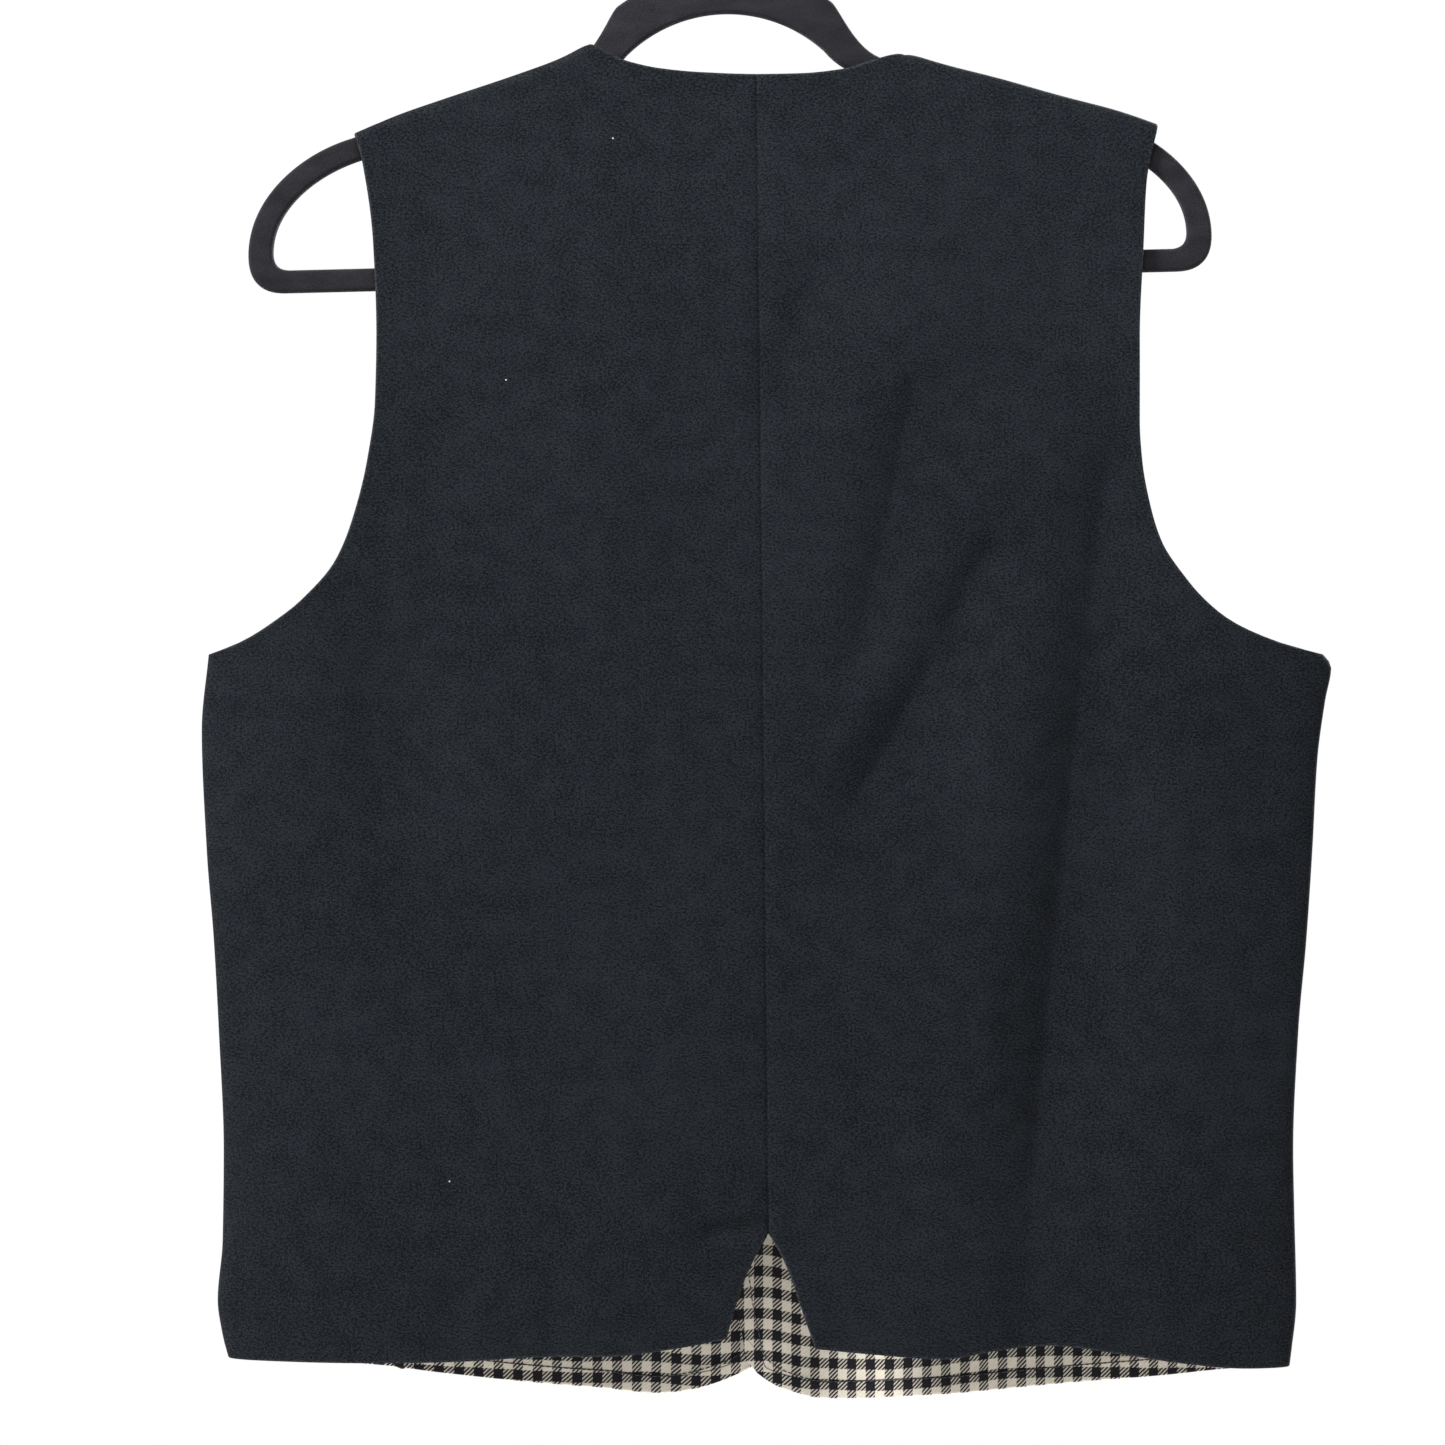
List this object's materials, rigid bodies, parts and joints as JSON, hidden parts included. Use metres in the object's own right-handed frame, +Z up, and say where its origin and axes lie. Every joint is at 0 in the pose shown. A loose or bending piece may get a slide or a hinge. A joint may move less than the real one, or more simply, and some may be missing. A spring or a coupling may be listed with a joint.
{
  "type": "vest on a clothes hanger",
  "caption": "Plain dark sleeveless waistcoat with a checked front lining, a back vent and a buttoned lapped front, hanging flat on a slim flocked clothes hanger with a wire hook.",
  "frame": {"origin": "inner top of the hanger's hook, where a rod carries it", "axes": "+Z up, +X to the wearer's right, +Y out of the garment's fronts, so its back faces -Y"},
  "size_m": [0.5213, 0.0394, 0.7545],
  "materials": {
    "navy_cloth": "dark navy wool-like cloth, slightly napped, matt",
    "checked_lining": "navy and cream gingham twill, 9 mm repeat",
    "dark_button": "dark plastic, satin",
    "black_flock": "black flocked plastic, velvety",
    "bright_steel": "bright plated steel wire"
  },
  "bodies": {
    "root": {"back_left": "navy_cloth", "back_right": "navy_cloth", "front_left": "navy_cloth", "front_right": "navy_cloth", "lining_front_left": "checked_lining", "lining_front_right": "checked_lining", "button_1": "dark_button", "button_2": "dark_button", "button_3": "dark_button", "button_4": "dark_button", "button_5": "dark_button", "hanger": "black_flock", "hook": "bright_steel"}
  },
  "joints": []
}
